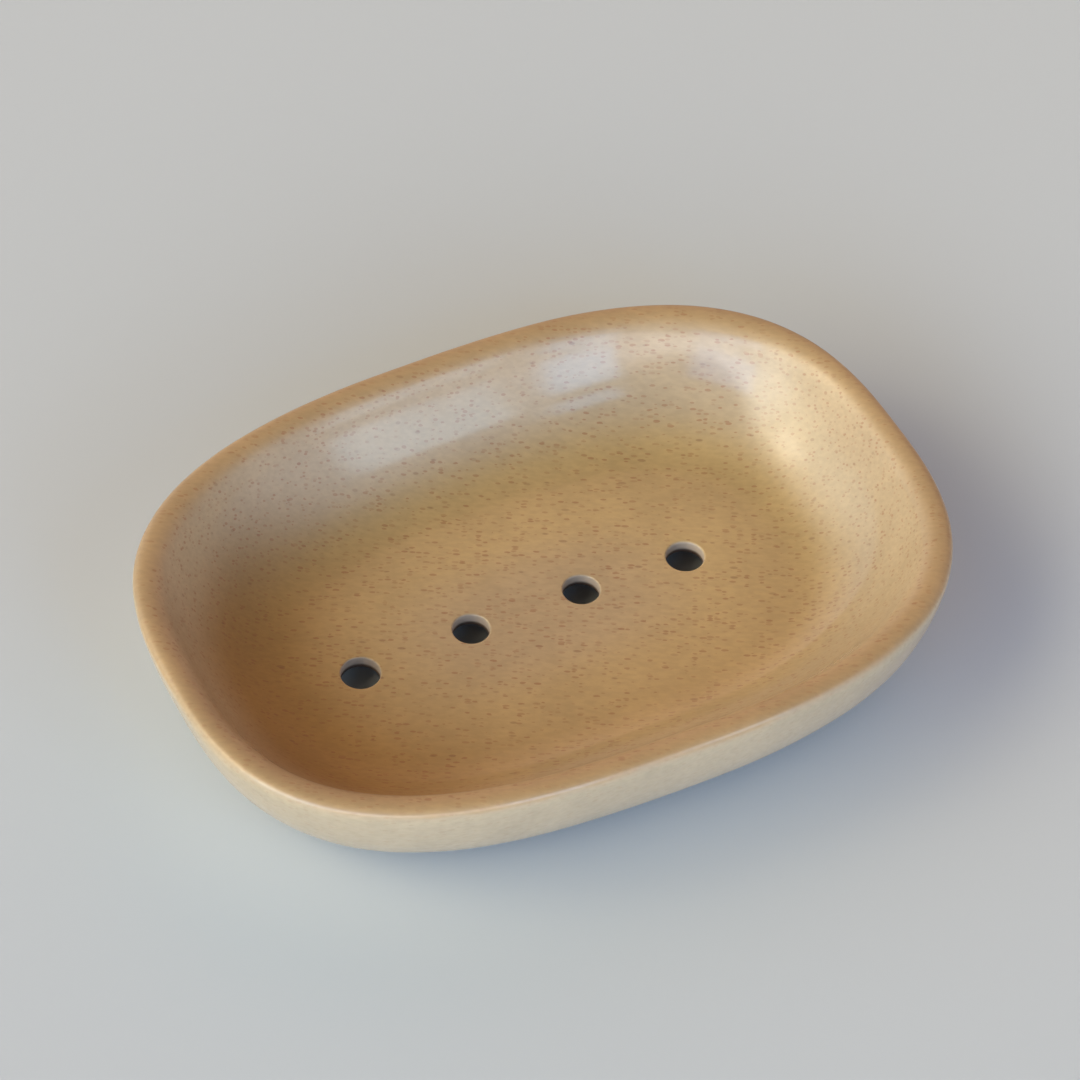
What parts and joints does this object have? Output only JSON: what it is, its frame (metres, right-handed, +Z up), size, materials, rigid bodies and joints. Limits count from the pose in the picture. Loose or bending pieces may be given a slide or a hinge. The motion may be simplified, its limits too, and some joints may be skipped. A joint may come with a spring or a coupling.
{
  "type": "soap dish",
  "caption": "Oblong glazed stoneware soap dish with rounded corners, a curved wall, a rounded rim, a row of drain holes in its floor and silicone bumper pads underneath.",
  "frame": {"origin": "on the table, at the middle of the dish's footprint", "axes": "+X along the dish towards its slightly broader end, +Y across it towards the rear, +Z up"},
  "size_m": [0.1297, 0.0929, 0.0222],
  "materials": {
    "speckled_glaze": "satin glaze in warm sand with fine brown specks, breaking to orange brown on the rim",
    "pad_silicone": "cloudy translucent silicone, matt"
  },
  "bodies": {
    "root": {"dish_body": "speckled_glaze", "foot_pad_front_left": "pad_silicone", "foot_pad_front_right": "pad_silicone", "foot_pad_rear_left": "pad_silicone", "foot_pad_rear_right": "pad_silicone"}
  },
  "joints": []
}
